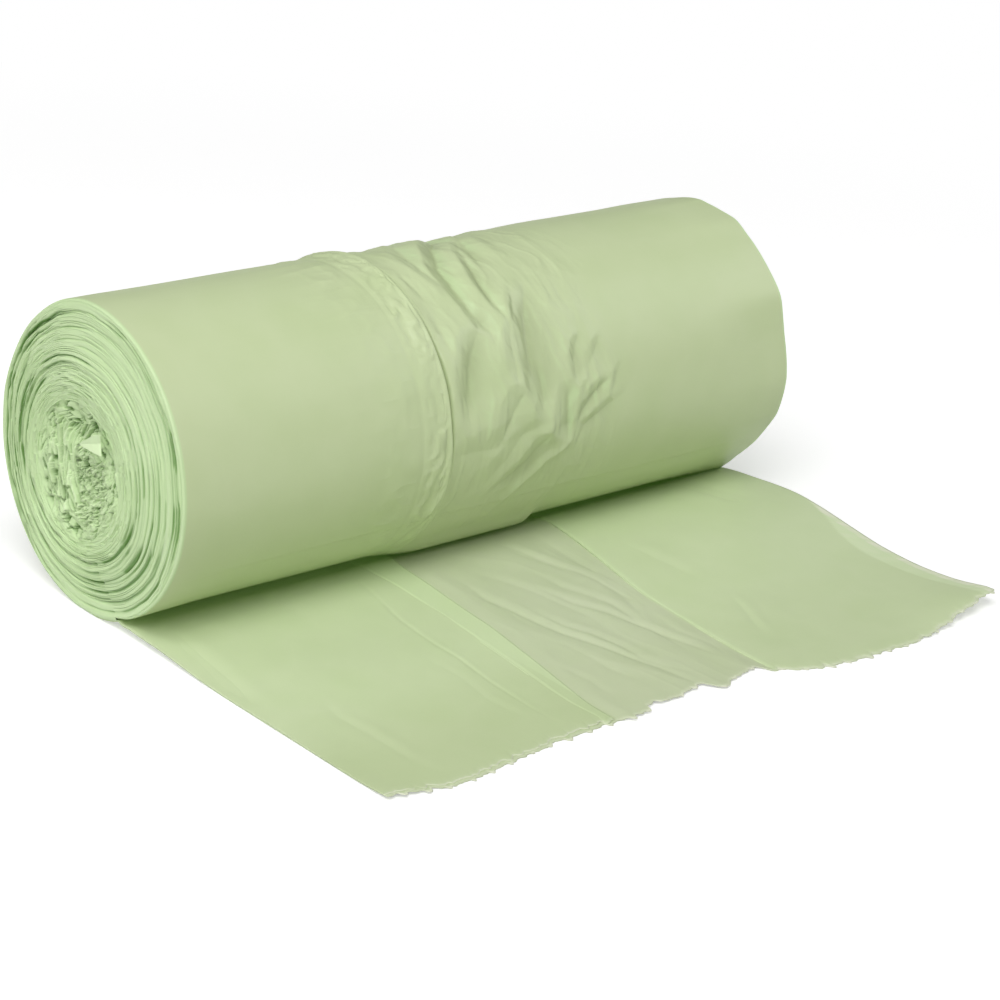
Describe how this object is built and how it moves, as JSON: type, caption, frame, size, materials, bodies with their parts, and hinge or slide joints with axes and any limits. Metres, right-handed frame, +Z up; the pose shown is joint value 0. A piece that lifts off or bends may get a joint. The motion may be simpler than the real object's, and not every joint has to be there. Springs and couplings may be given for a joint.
{
  "type": "bin bag roll",
  "caption": "Coreless roll of side-folded bin bag film with gathered middle, spiral ends and a loose end torn along its perforation.",
  "frame": {"origin": "on the floor, in the middle of the flat spot that the roll rests on, straight below the middle of its axis", "axes": "+X along the roll's axis, -Y towards the loose end, +Z up"},
  "size_m": [0.2864, 0.2309, 0.1108],
  "materials": {
    "film": "satin, slightly translucent"
  },
  "bodies": {
    "root": {"bag_roll": "film"}
  },
  "joints": []
}
